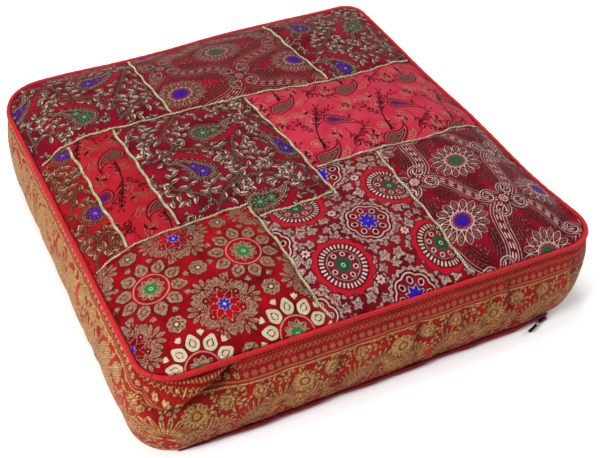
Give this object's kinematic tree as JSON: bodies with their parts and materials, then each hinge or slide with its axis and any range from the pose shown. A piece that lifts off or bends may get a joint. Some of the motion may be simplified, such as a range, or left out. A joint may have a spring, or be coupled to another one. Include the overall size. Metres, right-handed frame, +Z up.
{
  "type": "square patchwork floor cushion",
  "caption": "Square boxed floor cushion with a crowned patchwork top, corded edge, metallic braid over the patch seams and a zip along the foot of its front side.",
  "frame": {"origin": "on the floor, under the middle of the cushion's bounding box", "axes": "+Z up, +X along the front side (the one with the zip) from its left corner to its right one, +Y towards the back"},
  "size_m": [0.5246, 0.54, 0.1263],
  "materials": {
    "brocade": "red and maroon silk brocade woven with dull gold",
    "piping": "bright red satin over a cord",
    "braid": "pale gold metallic braid",
    "flap": "dark red plain cotton",
    "zip": "black enamel"
  },
  "bodies": {
    "root": {"cushion_body": "brocade", "piping_top": "piping", "braid_back_row": "braid", "braid_back_left": "braid", "braid_back_right": "braid", "braid_strip_left": "braid", "braid_strip_right": "braid", "braid_middle": "braid", "braid_middle_right": "braid", "braid_middle_front": "braid", "braid_front_row": "braid", "braid_front_left": "braid", "braid_front_right": "braid", "zip_flap": "flap", "zip_slider": "zip", "zip_pull": "zip"}
  },
  "joints": []
}
